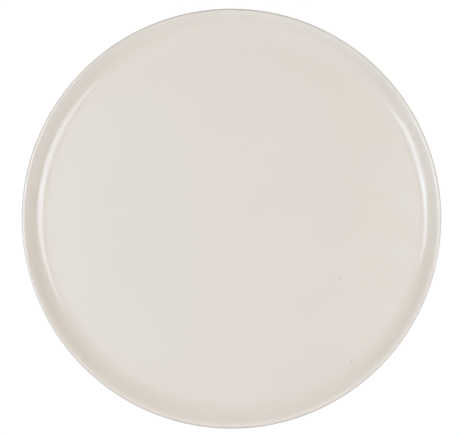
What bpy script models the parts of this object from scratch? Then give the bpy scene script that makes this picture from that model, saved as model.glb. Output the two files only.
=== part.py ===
# Pizza plate: a pressed stoneware plate with a flat floor, a low flared rim and a foot ring.
# One clay body carries two coats of glaze, which the bare foot ring keeps apart: the face coat
# over the well, the lip and the outside, and the base coat in the recess inside the foot ring.
# Metres, +Z up. The origin lies on the plate's axis, in the plane that it stands on.

from math import acos, ceil, cos, pi, radians, sin

import bpy

# Overall sizes, over the glaze
RIM_DIAMETER = 0.330
PLATE_HEIGHT = 0.025

# Rim, over the glaze: leans are measured from the vertical, the lip's slope from the horizontal
LIP_INNER_RADIUS = 0.0035
LIP_OUTER_RADIUS = 0.0009
LIP_SLOPE = radians(23)
WALL_LEAN = radians(27)
OUTSIDE_LEAN = radians(19)
WELL_FILLET = 0.012
HEEL_RADIUS = 0.016

# Floor and underside, over the glaze
FLOOR_THICKNESS = 0.0055
FOOT_HEIGHT = 0.003
BASE_RECESS = 0.0026

# Foot ring, bare at its standing face
FOOT_DIAMETER = 0.215
FOOT_WIDTH = 0.005
FOOT_DRAFT = radians(15)
FOOT_FILLET = 0.0015
FOOT_EDGE_RADIUS = 0.0008

# Glaze: the clay is wiped bare below the glaze line
GLAZE_THICKNESS = 0.0004
GLAZE_CLEARANCE = 0.00005
GLAZE_LINE = 0.0015

# Facets: equal steps round the axis, and on an arc the fewest chords that stay this near to it
TURN_STEPS = 64
CHORD_GAP = 0.00008
WIDEST_CHORD = radians(25)
MERGE_DISTANCE = 0.000001

# Directions that the section's faces look in, as angles from +X towards +Z
UP = radians(90)
OUT = radians(0)
DOWN = radians(-90)
WALL_FACE = radians(180) - WALL_LEAN
LIP_FACE = UP + LIP_SLOPE
OUTSIDE_FACE = -OUTSIDE_LEAN
FOOT_OUTER_FACE = -FOOT_DRAFT
FOOT_INNER_FACE = FOOT_DRAFT - radians(180)

COAT = GLAZE_CLEARANCE + GLAZE_THICKNESS
COLLECTION_NAME = "pizza_plate"
CLAY_COLOUR = (0.72, 0.64, 0.53)
CLAY_ROUGHNESS = 0.85
GLAZE_COLOUR = (0.75, 0.70, 0.64)
GLAZE_ROUGHNESS = 0.08


def clear_scene():
    for obj in list(bpy.data.objects):
        bpy.data.objects.remove(obj)


def moved(point, angle, distance):
    """The point shifted in the direction of an angle."""
    return (point[0] + distance * cos(angle), point[1] + distance * sin(angle))


def arc(centre, radius, *stops):
    """Points along an arc that passes each of its stops, with the direction the face looks in there.

    The stops are such directions. A hollow arc has a negative radius.
    """
    widest = min(WIDEST_CHORD, 2 * acos(max(0, 1 - CHORD_GAP / abs(radius))))
    angles = [stops[0]]
    for first, last in zip(stops, stops[1:]):
        count = ceil(abs(last - first) / widest)
        angles += [first + (last - first) * i / count for i in range(1, count + 1)]
    return [(moved(centre, angle, radius), angle) for angle in angles]


def corner(before, after, radius):
    """The arc that rounds the corner of two faces, each given as a point on it and its direction."""
    (p, a), (q, b) = before, after
    u = p[0] * cos(a) + p[1] * sin(a) - radius
    v = q[0] * cos(b) + q[1] * sin(b) - radius
    turn = sin(b - a)
    centre = ((u * sin(b) - v * sin(a)) / turn, (v * cos(a) - u * cos(b)) / turn)
    return arc(centre, radius, a, b)


def at_glaze_line(face):
    """Where a flank of the foot ring crosses the glaze line."""
    (x, z), angle = face
    along = (GLAZE_LINE - z) / cos(angle)
    return (x - along * sin(angle), GLAZE_LINE), angle


def clay_section():
    """The clay's half section in three runs: under the face coat, bare, and under the base coat."""
    crest = (RIM_DIAMETER / 2 - LIP_OUTER_RADIUS, PLATE_HEIGHT - LIP_OUTER_RADIUS)
    lip_outer = (crest, LIP_OUTER_RADIUS - COAT)
    lip_inner = (moved(crest, LIP_FACE, LIP_OUTER_RADIUS - LIP_INNER_RADIUS), LIP_INNER_RADIUS - COAT)
    foot_radius = FOOT_DIAMETER / 2

    floor = ((0, FOOT_HEIGHT + FLOOR_THICKNESS - COAT), UP)
    wall = (moved(lip_inner[0], WALL_FACE, lip_inner[1]), WALL_FACE)
    outside = (moved(lip_outer[0], OUTSIDE_FACE, lip_outer[1]), OUTSIDE_FACE)
    underside = ((0, FOOT_HEIGHT + COAT), DOWN)
    foot_outer = ((foot_radius, 0), FOOT_OUTER_FACE)
    standing = ((foot_radius, 0), DOWN)
    foot_inner = ((foot_radius - FOOT_WIDTH, 0), FOOT_INNER_FACE)
    base = ((0, BASE_RECESS + COAT), DOWN)

    under_face_coat = [
        floor,
        *corner(floor, wall, -(WELL_FILLET + COAT)),
        *arc(*lip_inner, WALL_FACE, LIP_FACE),
        *arc(*lip_outer, LIP_FACE, UP, OUT, OUTSIDE_FACE)[1:],
        *corner(outside, underside, HEEL_RADIUS - COAT),
        *corner(underside, foot_outer, -(FOOT_FILLET + COAT)),
        at_glaze_line(foot_outer),
    ]
    bare = [
        *corner(foot_outer, standing, FOOT_EDGE_RADIUS),
        *corner(standing, foot_inner, FOOT_EDGE_RADIUS),
    ]
    under_base_coat = [
        at_glaze_line(foot_inner),
        *corner(foot_inner, base, -(FOOT_FILLET + COAT)),
        base,
    ]
    return under_face_coat, bare, under_base_coat


def coat_sides(run):
    """The two sides of a coat of glaze on a run of clay: the side on the clay and the outer side."""
    inner = [moved(point, angle, GLAZE_CLEARANCE) for point, angle in run]
    outer = [moved(point, angle, COAT) for point, angle in run]
    return inner, outer


def rolled_edge(face):
    """The rounded tip of a coat on the foot ring, half a thickness below the glaze line."""
    point, angle = face
    middle = moved(point, angle, GLAZE_CLEARANCE + GLAZE_THICKNESS / 2)
    return (middle[0], middle[1] - GLAZE_THICKNESS / 2)


def plain_material(name, colour, roughness):
    material = bpy.data.materials.new(name)
    material.use_nodes = True
    shader = material.node_tree.nodes["Principled BSDF"]
    shader.inputs["Base Color"].default_value = (*colour, 1)
    shader.inputs["Roughness"].default_value = roughness
    shader.inputs["Metallic"].default_value = 0
    return material


def turned(name, outline, material, collection):
    """A solid of revolution: the outline runs from the axis, out and down, and back to the axis."""
    mesh = bpy.data.meshes.new(name)
    edges = [(i, i + 1) for i in range(len(outline) - 1)]
    mesh.from_pydata([(x, 0, z) for x, z in outline], edges, [])
    obj = bpy.data.objects.new(name, mesh)
    collection.objects.link(obj)
    obj.data.materials.append(material)
    screw = obj.modifiers.new("turn", "SCREW")
    screw.axis = "Z"
    screw.angle = 2 * pi
    screw.steps = TURN_STEPS
    screw.render_steps = TURN_STEPS
    screw.use_smooth_shade = True
    screw.use_merge_vertices = True
    screw.merge_threshold = MERGE_DISTANCE
    return obj


def build_clay_body(section, collection):
    """The fired clay: floor, rim, lip and foot ring in one pressing."""
    under_face_coat, bare, under_base_coat = section
    outline = [point for point, _ in under_face_coat + bare + under_base_coat]
    clay = plain_material("fired_clay", CLAY_COLOUR, CLAY_ROUGHNESS)
    turned("clay_body", outline, clay, collection)


def build_glaze(section, collection):
    """The two coats, each closed at the axis and rolled to a tip on its flank of the foot ring."""
    under_face_coat, _, under_base_coat = section
    glaze = plain_material("ivory_glaze", GLAZE_COLOUR, GLAZE_ROUGHNESS)
    inner, outer = coat_sides(under_face_coat)
    face_outline = [*outer, rolled_edge(under_face_coat[-1]), *reversed(inner)]
    turned("face_glaze", face_outline, glaze, collection)
    inner, outer = coat_sides(under_base_coat)
    base_outline = [*reversed(inner), rolled_edge(under_base_coat[0]), *outer]
    turned("base_glaze", base_outline, glaze, collection)


def main():
    clear_scene()
    collection = bpy.data.collections.new(COLLECTION_NAME)
    bpy.context.scene.collection.children.link(collection)
    section = clay_section()
    build_clay_body(section, collection)
    build_glaze(section, collection)


main()
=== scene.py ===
from math import ceil, cos, pi, radians, sin

import bpy
from mathutils import Matrix, Vector


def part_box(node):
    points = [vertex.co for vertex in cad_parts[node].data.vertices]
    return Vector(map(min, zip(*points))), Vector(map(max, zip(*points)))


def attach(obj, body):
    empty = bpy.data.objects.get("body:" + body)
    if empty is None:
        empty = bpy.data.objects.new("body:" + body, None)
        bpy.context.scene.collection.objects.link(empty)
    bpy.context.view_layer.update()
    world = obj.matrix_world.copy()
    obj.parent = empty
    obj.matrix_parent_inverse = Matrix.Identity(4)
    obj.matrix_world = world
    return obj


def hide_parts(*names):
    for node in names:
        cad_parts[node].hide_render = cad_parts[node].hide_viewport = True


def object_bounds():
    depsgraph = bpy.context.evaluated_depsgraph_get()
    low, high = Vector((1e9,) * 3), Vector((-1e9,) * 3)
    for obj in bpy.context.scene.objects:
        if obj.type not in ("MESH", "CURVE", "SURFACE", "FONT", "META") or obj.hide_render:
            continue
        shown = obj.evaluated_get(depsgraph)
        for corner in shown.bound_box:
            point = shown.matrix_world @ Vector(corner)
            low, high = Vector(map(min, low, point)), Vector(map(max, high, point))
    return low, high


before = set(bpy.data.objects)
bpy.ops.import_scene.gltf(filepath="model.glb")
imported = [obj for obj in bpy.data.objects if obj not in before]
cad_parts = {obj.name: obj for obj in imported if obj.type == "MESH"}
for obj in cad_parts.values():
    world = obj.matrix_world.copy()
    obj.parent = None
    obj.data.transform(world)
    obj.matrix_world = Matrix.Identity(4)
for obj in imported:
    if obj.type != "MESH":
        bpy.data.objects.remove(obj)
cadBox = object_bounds()
print("frame: plate of", [round(side, 4) for side in cadBox[1] - cadBox[0]], "m")

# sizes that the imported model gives
faceLow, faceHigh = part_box("face_glaze")
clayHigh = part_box("clay_body")[1]
rimRadius = faceHigh.x
rimHeight = faceHigh.z
coat = faceHigh.x - clayHigh.x  # clay to glaze surface

up, down = radians(90), radians(-90)  # ways that a face of the section looks

section = {
    "lipInner": 0.0035,  # radius on the well's side
    "lipOuter": 0.0009,
    "lipFace": radians(90 + 23),  # where the two meet
    "wallFace": radians(180 - 27),  # inside of the wall
    "outsideFace": radians(-19),
    "wellFillet": 0.012,
    "heelRadius": 0.016,
    "floorThickness": 0.0055,
    "footHeight": 0.003,
    "baseRecess": 0.0026,
    "footRadius": 0.1075,
    "footWidth": 0.005,
    "footDraft": radians(15),
    "footFillet": 0.0015,
    "footEdge": 0.0008,
    "glazeLine": 0.0015,
    "glazeGap": 0.00005,
    "arcChord": radians(4),  # widest turn between two points of an arc
    "ringGap": 0.006,  # widest gap between two rings on a flat
    "turnSteps": 256,
    "mergeGap": 1e-6,
}


def shifted(point, angle, distance):
    return (point[0] + distance * cos(angle), point[1] + distance * sin(angle))


# arc through the ways it looks; a hollow one has a negative radius
def arc(centre, radius, first, last):
    count = ceil(abs(last - first) / section["arcChord"])
    angles = [first + (last - first) * i / count for i in range(count + 1)]
    return [(shifted(centre, a, radius), a) for a in angles]


# rounds the corner of two faces, each a point on it and the way it looks
def corner(before, after, radius):
    (p, a), (q, b) = before, after
    u = p[0] * cos(a) + p[1] * sin(a) - radius
    v = q[0] * cos(b) + q[1] * sin(b) - radius
    turn = sin(b - a)
    centre = ((u * sin(b) - v * sin(a)) / turn, (v * cos(a) - u * cos(b)) / turn)
    return arc(centre, radius, a, b)


# extra points on the long flats, so that the rings stay close
def ringed(run):
    full = [run[0]]
    for (p, a), (q, b) in zip(run, run[1:]):
        count = ceil(((q[0] - p[0]) ** 2 + (q[1] - p[1]) ** 2) ** 0.5 / section["ringGap"])
        for i in range(1, count + 1):
            t = i / count
            full.append(((p[0] + (q[0] - p[0]) * t, p[1] + (q[1] - p[1]) * t), a + (b - a) * t))
    return full


# where a flank of the foot ring crosses the glaze line
def onGlazeLine(face):
    (x, z), angle = face
    along = (section["glazeLine"] - z) / cos(angle)
    return (x - along * sin(angle), section["glazeLine"]), angle


# the clay's half section: under the face coat, bare, under the base coat
def clayRuns():
    s = section
    crest = (rimRadius - s["lipOuter"], rimHeight - s["lipOuter"])
    lipOuter = (crest, s["lipOuter"] - coat)
    slope = shifted(crest, s["lipFace"], s["lipOuter"] - s["lipInner"])
    lipInner = (slope, s["lipInner"] - coat)
    innerFace = s["footDraft"] - radians(180)
    floor = ((0, s["footHeight"] + s["floorThickness"] - coat), up)
    wall = (shifted(lipInner[0], s["wallFace"], lipInner[1]), s["wallFace"])
    outside = (shifted(lipOuter[0], s["outsideFace"], lipOuter[1]), s["outsideFace"])
    underside = ((0, s["footHeight"] + coat), down)
    footOuter = ((s["footRadius"], 0), -s["footDraft"])
    standing = ((s["footRadius"], 0), down)
    footInner = ((s["footRadius"] - s["footWidth"], 0), innerFace)
    base = ((0, s["baseRecess"] + coat), down)
    underFace = [
        floor,
        *corner(floor, wall, -s["wellFillet"] - coat),
        *arc(*lipInner, s["wallFace"], s["lipFace"]),
        *arc(*lipOuter, s["lipFace"], s["outsideFace"])[1:],
        *corner(outside, underside, s["heelRadius"] - coat),
        *corner(underside, footOuter, -s["footFillet"] - coat),
        onGlazeLine(footOuter),
    ]
    bare = [
        *corner(footOuter, standing, s["footEdge"]),
        *corner(standing, footInner, s["footEdge"]),
    ]
    underBase = [
        onGlazeLine(footInner),
        *corner(footInner, base, -s["footFillet"] - coat),
        base,
    ]
    return ringed(underFace), ringed(bare), ringed(underBase)


# a plane merged to one point, extruded along the outline and spun round the axis
def spinProfile(name, outline):
    bpy.ops.object.select_all(action="DESELECT")
    bpy.ops.mesh.primitive_plane_add(location=(0, 0, 0))
    piece = bpy.context.object
    piece.name = name
    piece.data.name = name
    bpy.ops.object.mode_set(mode="EDIT")
    bpy.ops.mesh.select_mode(type="VERT")
    bpy.ops.mesh.select_all(action="SELECT")
    bpy.ops.mesh.merge(type="CENTER")
    bpy.ops.transform.translate(value=(outline[0][0], 0, outline[0][1]))
    for (x0, z0), (x1, z1) in zip(outline, outline[1:]):
        bpy.ops.mesh.extrude_region_move(TRANSFORM_OT_translate={"value": (x1 - x0, 0, z1 - z0)})
    bpy.ops.mesh.select_all(action="SELECT")
    bpy.ops.mesh.spin(steps=section["turnSteps"], angle=2 * pi, center=(0, 0, 0), axis=(0, 0, 1))
    bpy.ops.mesh.select_all(action="SELECT")
    bpy.ops.mesh.remove_doubles(threshold=section["mergeGap"])
    bpy.ops.mesh.normals_make_consistent(inside=False)
    bpy.ops.object.mode_set(mode="OBJECT")
    bpy.ops.object.shade_smooth()
    print(name, len(piece.data.polygons), "faces")
    return piece


# the side of a coat that lies on the clay, and the one that shows
def coatSides(run):
    inner = [shifted(point, angle, section["glazeGap"]) for point, angle in run]
    outer = [shifted(point, angle, coat) for point, angle in run]
    return inner, outer


def rolledTip(face):
    point, angle = face
    middle = shifted(point, angle, (section["glazeGap"] + coat) / 2)
    return (middle[0], faceLow.z)


underFace, bareRun, underBase = clayRuns()
clayBody = spinProfile("clayBody", [point for point, _ in underFace + bareRun + underBase])
inner, outer = coatSides(underFace)
faceCoat = spinProfile("faceCoat", [*outer, rolledTip(underFace[-1]), *reversed(inner)])
inner, outer = coatSides(underBase)
baseCoat = spinProfile("baseCoat", [*reversed(inner), rolledTip(underBase[0]), *outer])

# the glaze is wiped off the foot ring by hand, so its edge wanders
wipedEdge = {
    "below": 0.0017,  # height under which the glaze wanders
    "depth": 0.0014,
    "length": 0.02,  # along the edge
}


def wipeEdge(piece):
    bpy.ops.object.select_all(action="DESELECT")
    piece.select_set(True)
    bpy.context.view_layer.objects.active = piece
    edge = piece.vertex_groups.new(name="wipedEdge")
    edge.add([v.index for v in piece.data.vertices if v.co.z < wipedEdge["below"]], 1, "REPLACE")
    clouds = bpy.data.textures.new(piece.name + "Wander", "CLOUDS")
    clouds.noise_scale = wipedEdge["length"]
    wander = piece.modifiers.new("wander", "DISPLACE")
    wander.texture = clouds
    wander.texture_coords = "LOCAL"
    wander.direction = "Z"
    wander.vertex_group = edge.name
    wander.strength = wipedEdge["depth"]
    bpy.ops.object.modifier_apply(modifier=wander.name)
    piece.vertex_groups.clear()
    print(piece.name, "edge from", round(min(v.co.z for v in piece.data.vertices), 5))


def seat(piece, node):
    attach(piece, "root")
    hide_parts(node)


wipeEdge(faceCoat)
wipeEdge(baseCoat)
seat(clayBody, "clay_body")
seat(faceCoat, "face_glaze")
seat(baseCoat, "base_glaze")


# small helpers for node trees
def addNode(tree, kind, **settings):
    node = tree.nodes.new(kind)
    for name, value in settings.items():
        setattr(node, name, value)
    return node


def put(tree, inlet, value):
    if isinstance(value, bpy.types.NodeSocket):
        tree.links.new(value, inlet)
    else:
        inlet.default_value = value


def feed(tree, node, *values):
    for inlet, value in zip(node.inputs, values):
        put(tree, inlet, value)
    return node.outputs


def mathNode(tree, operation, *values):
    return feed(tree, addNode(tree, "ShaderNodeMath", operation=operation), *values)[0]


def vectorNode(tree, operation, *values):
    return feed(tree, addNode(tree, "ShaderNodeVectorMath", operation=operation), *values)


def splitNode(tree, vector):
    return feed(tree, addNode(tree, "ShaderNodeSeparateXYZ"), vector)


def noiseNode(tree, place, scale, detail=2):
    node = addNode(tree, "ShaderNodeTexNoise")
    for inlet, value in zip(("Vector", "Scale", "Detail"), (place, scale, detail)):
        put(tree, node.inputs[inlet], value)
    return node.outputs[0]


# value between two limits, turned into another range
def ranged(tree, value, limits, ends=(0, 1), easing="LINEAR"):
    node = addNode(tree, "ShaderNodeMapRange", interpolation_type=easing)
    settings = (value, *limits, *ends)
    for inlet, setting in zip(("Value", "From Min", "From Max", "To Min", "To Max"), settings):
        put(tree, node.inputs[inlet], setting)
    return node.outputs[0]


def eased(tree, value, start, end):
    return ranged(tree, value, (start, end), easing="SMOOTHSTEP")


def mixed(tree, blend, share, below, above):
    node = addNode(tree, "ShaderNodeMix", data_type="RGBA", blend_type=blend)
    put(tree, node.inputs[0], share)
    put(tree, node.inputs[6], below)  # 6, 7 and 2 are its colour sockets
    put(tree, node.inputs[7], above)
    return node.outputs[2]


# colour between stops, by a value from 0 to 1
def rampNode(tree, value, stops):
    node = addNode(tree, "ShaderNodeValToRGB")
    elements = node.color_ramp.elements
    elements.remove(elements[1])
    elements[0].position, elements[0].color = stops[0]
    for at, colour in stops[1:]:
        elements.new(at).color = colour
    put(tree, node.inputs[0], value)
    return node.outputs[0]


def newGroup(name, inlets, outlet):
    group = bpy.data.node_groups.new(name, "ShaderNodeTree")
    group.interface.new_socket("Place", in_out="INPUT", socket_type="NodeSocketVector")
    for inlet, value in inlets.items():
        socket = group.interface.new_socket(inlet, in_out="INPUT", socket_type="NodeSocketFloat")
        socket.default_value = value
    group.interface.new_socket(outlet, in_out="OUTPUT", socket_type="NodeSocketFloat")
    start = group.nodes.new("NodeGroupInput").outputs
    end = group.nodes.new("NodeGroupOutput").inputs
    return group, start, end


# cloudy change of tone, from -1 to 1
def mottleGroup():
    group, start, end = newGroup("mottle", {"Scale": 20, "Detail": 2}, "Tone")
    middle, spread = 0.5, 4  # the noise keeps near its middle
    cloud = noiseNode(group, start["Place"], start["Scale"], start["Detail"])
    centred = mathNode(group, "SUBTRACT", cloud, middle)
    put(group, end["Tone"], mathNode(group, "MULTIPLY", centred, spread))
    return group


# scattered specks: each cell may hold one, at its own size
def speckGroup():
    group, start, end = newGroup("kilnSpecks", {"Scale": 160, "Share": 0.3, "Size": 0.03}, "Mask")
    least, heartShare = 0.4, 0.4  # smallest size, and how much of a speck is full
    cells = addNode(group, "ShaderNodeTexVoronoi")
    put(group, cells.inputs["Vector"], start["Place"])
    put(group, cells.inputs["Scale"], start["Scale"])
    chance = feed(group, addNode(group, "ShaderNodeSeparateColor"), cells.outputs["Color"])
    chosen = mathNode(group, "LESS_THAN", chance[0], start["Share"])
    size = mathNode(group, "MULTIPLY", mathNode(group, "ADD", chance[1], least), start["Size"])
    heart = mathNode(group, "MULTIPLY", size, heartShare)
    near = eased(group, cells.outputs["Distance"], size, heart)
    put(group, end["Mask"], mathNode(group, "MULTIPLY", near, chosen))
    return group


# broad waves with a fine grain on them
def rippleGroup():
    group, start, end = newGroup("ripple", {"Wave": 80, "Grain": 600, "Grain Share": 0.15}, "Height")
    wave = noiseNode(group, start["Place"], start["Wave"], 1)
    grain = noiseNode(group, start["Place"], start["Grain"], 1)
    put(group, end["Height"], mathNode(group, "MULTIPLY_ADD", grain, start["Grain Share"], wave))
    return group


def useGroup(tree, group, place, settings):
    node = addNode(tree, "ShaderNodeGroup", node_tree=group)
    put(tree, node.inputs["Place"], place)
    for inlet, value in settings.items():
        node.inputs[inlet].default_value = value
    return node.outputs[0]


mottle, kilnSpecks, ripple = mottleGroup(), speckGroup(), rippleGroup()

glaze = {
    "ivory": (0.797, 0.748, 0.688, 1),
    "roughness": (0.05, 0.08),
    "sheen": {"Scale": 40, "Detail": 2},  # clouds in the roughness
    "ior": 1.5,
    # colour level by distance from the axis, with painted light and shade in it: painted light at the
    # floor's edge against the shade by the wall, painted shade that darkens and warms the wall, painted
    # light on the lip's top, and a painted dark rim on the edge
    "tone": (
        (0.098, (0.930, 0.930, 0.930, 1)),
        (0.1275, (0.945, 0.945, 0.945, 1)),
        (0.146, (0.965, 0.965, 0.970, 1)),
        (0.151, (0.945, 0.940, 0.930, 1)),
        (0.154, (0.925, 0.915, 0.895, 1)),
        (0.160, (0.935, 0.920, 0.900, 1)),
        (0.1626, (0.960, 0.970, 0.980, 1)),
        (0.1638, (0.940, 0.935, 0.940, 1)),
        (0.1646, (0.690, 0.665, 0.640, 1)),
    ),
    # painted shade on the lip: lighter on one side and darker on the other, and a painted darker edge
    # at the front and back, where less light falls on it
    "lipFrom": (0.1608, 0.1622),
    "lipShadeLean": (0.015, -0.033, 0),
    "edgeFrom": (0.1632, 0.1641),
    "edgeShade": (-0.21, 0.04),  # change at the front and back, and all round
    "edgePower": 4,  # how closely it keeps to the front and back
    "mottle": {"Scale": 14, "Detail": 3},
    "mottleDepth": 0.008,
    "speckColour": (0.30, 0.235, 0.17, 1),
    "fineSpecks": {"Scale": 160, "Share": 0.3, "Size": 0.02},
    "fineDepth": 0.5,
    # specks that stand out on the floor: place, radius and depth
    "floorSpecks": (
        ((0.0871, -0.0470, 0.0085), 0.00074, 1), ((0.0952, -0.1132, 0.0085), 0.00085, 1),
    ),
    "speckShape": {"scale": 2200, "ragged": 0.8, "edge": (1.3, 0.6)},
    # faint spots that cool the colour and dull the gloss: place, radius and depth
    "dullSpots": (
        ((0.1368, 0.0120, 0.0085), 0.015, 0.9), ((0.1325, -0.0252, 0.0085), 0.013, 1.0),
        ((0.1175, -0.0197, 0.0085), 0.011, 0.6), ((0.1150, -0.0690, 0.0085), 0.015, 0.55),
        ((0.1245, 0.0420, 0.0085), 0.028, 0.45),
    ),
    "markShape": {"scale": 260, "ragged": 1.6, "edge": (1.8, 0.8)},
    "markTint": (0.98, 1.01, 1.03, 1),
    "markRoughness": 0.12,
    "thinEdge": (0.0021, 0.0011),  # heights over which the wiped edge thins out
    "thinShare": 0.6,  # how much of the clay shows there
    "wave": {"Wave": 70, "Grain": 420, "Grain Share": 0.12},
    "waveHeight": 0.00002,
}
clay = {
    "buff": (0.72, 0.64, 0.53, 1),
    "roughness": (0.78, 0.95),
    "mottle": {"Scale": 90, "Detail": 4},
    "mottleDepth": 0.06,
    "gritColour": (0.33, 0.24, 0.16, 1),
    "grit": {"Scale": 900, "Share": 0.35, "Size": 0.3},
    "gritDepth": 0.6,
    "wave": {"Wave": 500, "Grain": 2600, "Grain Share": 0.5},
    "waveHeight": 0.00006,
}


# material with its Principled shader and the place on the piece
def startMaterial(name):
    material = bpy.data.materials.new(name)
    material.use_nodes = True
    tree = material.node_tree
    shader = tree.nodes["Principled BSDF"]
    place = addNode(tree, "ShaderNodeTexCoord").outputs["Object"]
    return material, tree, shader, place


def brightened(tree, colour, tone, depth):
    factor = mathNode(tree, "MULTIPLY_ADD", tone, depth, 1)
    grey = feed(tree, addNode(tree, "ShaderNodeCombineColor"), factor, factor, factor)[0]
    return mixed(tree, "MULTIPLY", 1, colour, grey)


# a mottle's tone as a roughness between two limits
def roughened(tree, tone, limits):
    return ranged(tree, tone, (-1, 1), limits)


def bumped(tree, shader, height, depth):
    bump = addNode(tree, "ShaderNodeBump")
    bump.inputs["Strength"].default_value = 1
    bump.inputs["Distance"].default_value = depth
    put(tree, bump.inputs["Height"], height)
    put(tree, shader.inputs["Normal"], bump.outputs[0])


# ragged spots at given places; the shape's raggedness and edge are shares of a spot's radius
def blots(tree, place, spots, shape):
    noise = noiseNode(tree, place, shape["scale"])
    outer, inner = shape["edge"]
    mask = 0
    for spot, radius, depth in spots:
        away = vectorNode(tree, "DISTANCE", place, spot)["Value"]
        uneven = mathNode(tree, "MULTIPLY_ADD", noise, radius * shape["ragged"], away)
        blot = eased(tree, uneven, radius * outer, radius * inner)
        mask = mathNode(tree, "MAXIMUM", mask, mathNode(tree, "MULTIPLY", blot, depth))
    return mask


# painted light and shade, by the distance from the axis
def paintedShadeByRadius(tree, radius):
    first, last = glaze["tone"][0][0], glaze["tone"][-1][0]
    stops = [((stop - first) / (last - first), tone) for stop, tone in glaze["tone"]]
    return rampNode(tree, ranged(tree, radius, (first, last)), stops)


# painted light and shade on the lip, by the way round the plate
def paintedLipShade(tree, flat, radius):
    way = vectorNode(tree, "NORMALIZE", flat)["Vector"]
    lean = vectorNode(tree, "DOT_PRODUCT", way, glaze["lipShadeLean"])["Value"]
    lip = mathNode(tree, "MULTIPLY", eased(tree, radius, *glaze["lipFrom"]), lean)
    frontBack = mathNode(tree, "POWER", splitNode(tree, way)["Y"], glaze["edgePower"])
    # painted darker edge at the front and back
    thinCoatAndEdgeShade = mathNode(tree, "MULTIPLY_ADD", frontBack, *glaze["edgeShade"])
    return mathNode(tree, "MULTIPLY_ADD", eased(tree, radius, *glaze["edgeFrom"]), thinCoatAndEdgeShade, lip)


# scattered fine specks and the ones that stand out on the floor
def glazeSpecks(tree, place):
    fine = useGroup(tree, kilnSpecks, place, glaze["fineSpecks"])
    large = blots(tree, place, glaze["floorSpecks"], glaze["speckShape"])
    return mathNode(tree, "MAXIMUM", mathNode(tree, "MULTIPLY", fine, glaze["fineDepth"]), large)


def glazeMaterial():
    material, tree, shader, place = startMaterial("ivoryGlaze")
    flat = vectorNode(tree, "MULTIPLY", place, (1, 1, 0))["Vector"]
    radius = vectorNode(tree, "LENGTH", flat)["Value"]
    # the ivory with the painted light and shade by radius on it
    colour = mixed(tree, "MULTIPLY", 1, glaze["ivory"], paintedShadeByRadius(tree, radius))
    cloud = useGroup(tree, mottle, place, glaze["mottle"])
    colour = brightened(tree, colour, cloud, glaze["mottleDepth"])
    # painted shade on the lip: lighter on one side, darker on the edge at the front and back
    colour = brightened(tree, colour, paintedLipShade(tree, flat, radius), 1)
    marks = blots(tree, place, glaze["dullSpots"], glaze["markShape"])
    colour = mixed(tree, "MULTIPLY", marks, colour, glaze["markTint"])
    # the clay shows through where the wiped edge is thin
    thinCoatAndEdgeShade = eased(tree, splitNode(tree, place)["Z"], *glaze["thinEdge"])
    thinCoatAndEdgeShade = mathNode(tree, "MULTIPLY", thinCoatAndEdgeShade, glaze["thinShare"])
    colour = mixed(tree, "MIX", thinCoatAndEdgeShade, colour, clay["buff"])
    colour = mixed(tree, "MIX", glazeSpecks(tree, place), colour, glaze["speckColour"])
    put(tree, shader.inputs["Base Color"], colour)
    roughness = roughened(tree, useGroup(tree, mottle, place, glaze["sheen"]), glaze["roughness"])
    dulled = mathNode(tree, "MULTIPLY_ADD", marks, glaze["markRoughness"], roughness)
    put(tree, shader.inputs["Roughness"], dulled)
    shader.inputs["IOR"].default_value = glaze["ior"]
    bumped(tree, shader, useGroup(tree, ripple, place, glaze["wave"]), glaze["waveHeight"])
    return material


def clayMaterial():
    material, tree, shader, place = startMaterial("firedClay")
    cloud = useGroup(tree, mottle, place, clay["mottle"])
    colour = brightened(tree, clay["buff"], cloud, clay["mottleDepth"])
    grit = useGroup(tree, kilnSpecks, place, clay["grit"])
    grit = mathNode(tree, "MULTIPLY", grit, clay["gritDepth"])
    put(tree, shader.inputs["Base Color"], mixed(tree, "MIX", grit, colour, clay["gritColour"]))
    put(tree, shader.inputs["Roughness"], roughened(tree, cloud, clay["roughness"]))
    bumped(tree, shader, useGroup(tree, ripple, place, clay["wave"]), clay["waveHeight"])
    return material


ivoryGlaze, firedClay = glazeMaterial(), clayMaterial()
for piece, material in ((clayBody, firedClay), (faceCoat, ivoryGlaze), (baseCoat, ivoryGlaze)):
    piece.data.materials.clear()
    piece.data.materials.append(material)
    print(piece.name, "in", material.name)

# stage: seen white, but lit and shaded like a table
stage = {
    "size": 8.0,
    "white": (0.90, 1.0),  # near the plate and far from it
    "fade": (0.35, 1.2),  # how near and how far
    "shadow": 0.16,  # grey that takes the shadow
    "bounce": 0.65,  # grey that lights the plate from below
}


# 1 for what the camera and reflections see
def seenRays(tree):
    rays = addNode(tree, "ShaderNodeLightPath").outputs
    seen = mathNode(tree, "MAXIMUM", rays["Is Camera Ray"], rays["Is Glossy Ray"])
    return mathNode(tree, "MAXIMUM", seen, rays["Is Transmission Ray"])


def diffuseNode(tree, grey):
    return feed(tree, addNode(tree, "ShaderNodeBsdfDiffuse"), (grey, grey, grey, 1))[0]


def tableMaterial():
    material = bpy.data.materials.new("tableWhite")
    material.use_nodes = True
    tree = material.node_tree
    tree.nodes.clear()
    place = addNode(tree, "ShaderNodeTexCoord").outputs["Object"]
    away = vectorNode(tree, "LENGTH", place)["Value"]
    white = addNode(tree, "ShaderNodeEmission")
    put(tree, white.inputs["Strength"], ranged(tree, away, stage["fade"], stage["white"], "SMOOTHSTEP"))
    shadow, bounce = diffuseNode(tree, stage["shadow"]), diffuseNode(tree, stage["bounce"])
    shown = feed(tree, addNode(tree, "ShaderNodeAddShader"), white.outputs[0], shadow)[0]
    table = feed(tree, addNode(tree, "ShaderNodeMixShader"), seenRays(tree), bounce, shown)[0]
    feed(tree, addNode(tree, "ShaderNodeOutputMaterial"), table)
    return material


def layTable():
    bpy.ops.object.select_all(action="DESELECT")
    bpy.ops.mesh.primitive_plane_add(size=stage["size"], location=(0, 0, cadBox[0].z))
    floor = bpy.context.object
    floor.name = "tableTop"
    floor.data.materials.append(tableMaterial())


layTable()

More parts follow.
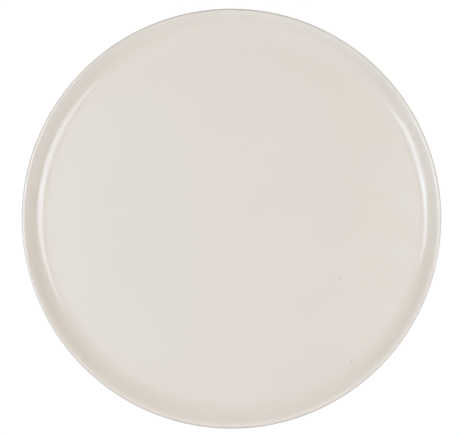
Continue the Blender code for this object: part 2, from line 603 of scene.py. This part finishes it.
# two softboxes show only in the gloss; the screens and cards round the table only light the plate.
# Edges: near and far end of one edge, near end of the other. A softbox's glow changes along it, with
# bands and fading ends that slant as they go across, and fades to the rim of its first edge.
softboxes = {
    "rightBox": {
        "edge": ((0.166, -0.555, 0.617), (0.294, 0.302, 0.902), (0.852, -0.460, 0.300)),
        "level": 6.4, "colour": (0.71, 0.83, 1.00), "slant": 0.14, "rim": 0.07,
        "glow": ((0.24, 0.50), (0.32, 0.57), (0.41, 0.71), (0.48, 0.74), (0.53, 0.89), (0.56, 1.00),
                 (0.60, 0.83), (0.66, 0.74), (0.74, 0.66), (0.82, 0.49), (0.90, 0.28), (0.99, 0.00)),
        "fades": ((0.08, 0.05, 0.21), (0.95, 0.24, 0.46)),  # slant, dark from, lit from
    },
    "leftBox": {
        "edge": ((-0.274, -0.297, 0.409), (-0.571, 0.255, 0.628), (-0.824, -0.415, 0.004)),
        "level": 7.2, "colour": (0.69, 0.805, 1.00), "slant": -0.11, "rim": 0.07,
        "glow": ((0.08, 0.88), (0.11, 0.78), (0.16, 0.56), (0.25, 0.70), (0.33, 0.92), (0.40, 1.00),
                 (0.46, 0.93), (0.54, 0.75), (0.60, 0.63), (0.70, 0.56), (0.80, 0.53)),
        "fades": ((0.085, 0.095, 0.125), (-0.20, 0.86, 0.73)),
    },
}
screens = {
    "overScreen": {"edge": ((-0.9, 0.9, 2.2), (0.9, 0.9, 2.2), (-0.9, -0.9, 2.2)),
                   "level": 1.77, "colour": (1.00, 0.97, 0.92)},
    "frontScreen": {"edge": ((-1.2, -1.1, 1.9), (1.2, -1.1, 1.9), (-1.2, -1.9, 1.0)),
                    "level": 1.73, "colour": (0.82, 0.88, 1.00)},
    "backScreen": {"edge": ((1.2, 1.1, 1.9), (-1.2, 1.1, 1.9), (1.2, 1.9, 1.0)),
                   "level": 1.06, "colour": (1.00, 0.97, 0.95)},
    "leftScreen": {"edge": ((-0.65, 0.7, 1.2), (-0.65, -0.7, 1.2), (-1.1, 0.7, 0.45)),
                   "level": 1.02, "colour": (0.98, 1.00, 0.95)},
    "rightScreen": {"edge": ((1.1, -1.2, 1.9), (1.1, 1.2, 1.9), (1.9, -1.2, 1.0)),
                    "level": 0.37, "colour": (1.00, 0.94, 1.00)},
    "frontCard": {"edge": ((-1.2, -1.6, 0.8), (1.2, -1.6, 0.8), (-1.2, -1.75, 0.02)),
                  "level": 2.04, "colour": (0.91, 0.94, 1.00)},
    "backCard": {"edge": ((1.2, 1.6, 0.8), (-1.2, 1.6, 0.8), (1.2, 1.75, 0.02)),
                 "level": 2.47, "colour": (0.85, 0.88, 1.00)},
    "rightCard": {"edge": ((1.6, -1.2, 0.8), (1.6, 1.2, 0.8), (1.75, -1.2, 0.02)),
                  "level": 0.76, "colour": (1.00, 0.83, 0.56)},
}


def hangLamp(name, settings, inGloss):
    near, far, other = (Vector(end) for end in settings["edge"])
    along, across = far - near, other - near
    middle = (far + other) / 2
    bpy.ops.object.light_add(type="AREA", location=middle)
    lamp = bpy.context.object
    lamp.name = name
    lamp.data.shape = "RECTANGLE"
    lamp.data.size, lamp.data.size_y = along.length, across.length
    lamp.data.energy = settings["level"] * pi * along.length * across.length
    lamp.data.color = settings["colour"]
    x = along.normalized()
    y = (across - x * across.dot(x)).normalized()
    z = x.cross(y)
    turned = z.dot(middle) < 0
    if turned:  # the lit side looks at the plate
        y, z = -y, -z
    lamp.rotation_euler = Matrix((x, y, z)).transposed().to_euler()
    lamp.visible_camera = False
    lamp.visible_diffuse = not inGloss
    lamp.visible_glossy = inGloss
    return lamp, turned


# glow by the place on the lamp's face: bands along it, then the fading rim and ends
def shapeGlow(lamp, turned, settings):
    lamp.data.use_nodes = True
    tree = lamp.data.node_tree
    face = splitNode(tree, addNode(tree, "ShaderNodeNewGeometry").outputs["Parametric"])
    along, across = face["X"], face["Y"]
    if turned:
        across = mathNode(tree, "SUBTRACT", 1, across)
    limit = 1 + max(settings["slant"], 0)
    band = mathNode(tree, "MULTIPLY_ADD", across, settings["slant"], along)
    stops = [(at / limit, (level, level, level, 1)) for at, level in settings["glow"]]
    bands = rampNode(tree, mathNode(tree, "DIVIDE", band, limit), stops)
    strength = mathNode(tree, "MULTIPLY", bands, eased(tree, across, 0, settings["rim"]))
    for slant, dark, lit in settings["fades"]:
        edge = mathNode(tree, "MULTIPLY_ADD", across, slant, along)
        strength = mathNode(tree, "MULTIPLY", strength, eased(tree, edge, dark, lit))
    put(tree, tree.nodes["Emission"].inputs["Strength"], strength)


for name, settings in softboxes.items():
    shapeGlow(*hangLamp(name, settings, True), settings)
for name, settings in screens.items():
    hangLamp(name, settings, False)
print("lamps hung:", len(softboxes) + len(screens))

sky = {
    "fill": 0.06,  # light that it gives
    "seen": 1.0,
    # the ceiling that the gloss sees: its colour overhead, and how that changes towards +X and +Y
    "overhead": (1.03, 0.92, 0.77),
    "towardX": (2.1, -0.15, -3.5),
    "towardY": (-1.03, -0.89, -0.75),
    # the way to its middle, and how far from there it has faded out and is full
    "spot": (-0.043, 0, 0.999),
    "spotFade": (0.165, 0.122),
}


def whiteSky():
    world = bpy.data.worlds.new("studio")
    bpy.context.scene.world = world
    world.use_nodes = True
    tree = world.node_tree
    backdrop = tree.nodes["Background"]
    level = ranged(tree, seenRays(tree), (0, 1), (sky["fill"], sky["seen"]))
    put(tree, backdrop.inputs["Strength"], level)
    # the ceiling is cooler on the left than on the right
    toward = addNode(tree, "ShaderNodeTexCoord").outputs["Generated"]
    way = splitNode(tree, toward)
    glow = sky["overhead"]
    for part, change in ((way["X"], sky["towardX"]), (way["Y"], sky["towardY"])):
        glow = vectorNode(tree, "MULTIPLY_ADD", part, change, glow)["Vector"]
    away = vectorNode(tree, "DISTANCE", toward, sky["spot"])["Value"]
    inGloss = addNode(tree, "ShaderNodeLightPath").outputs["Is Glossy Ray"]
    share = mathNode(tree, "MULTIPLY", eased(tree, away, *sky["spotFade"]), inGloss)
    put(tree, backdrop.inputs["Color"], mixed(tree, "MIX", share, (1, 1, 1, 1), glow))
    print("sky:", world.name)


whiteSky()

# camera over the plate, leaning a little to the right
view = {
    "distance": 1.3,
    "lean": radians(2.5),
    "sensor": 36,
    "lens": 129.61,
    "shift": (-0.00057, 0.00146),
}


def overheadCamera():
    bpy.ops.object.camera_add()
    camera = bpy.context.object
    camera.name = "overheadCamera"
    back = Vector((sin(view["lean"]), 0, cos(view["lean"])))
    camera.location = Vector((0, 0, rimHeight)) + back * view["distance"]
    camera.rotation_euler = (0, view["lean"], 0)
    camera.data.sensor_width = view["sensor"]
    camera.data.lens = view["lens"]
    camera.data.shift_x, camera.data.shift_y = view["shift"]
    bpy.context.scene.camera = camera
    print("camera", view["distance"], "m over the rim")


overheadCamera()
bpy.context.scene.view_settings.view_transform = "Standard"
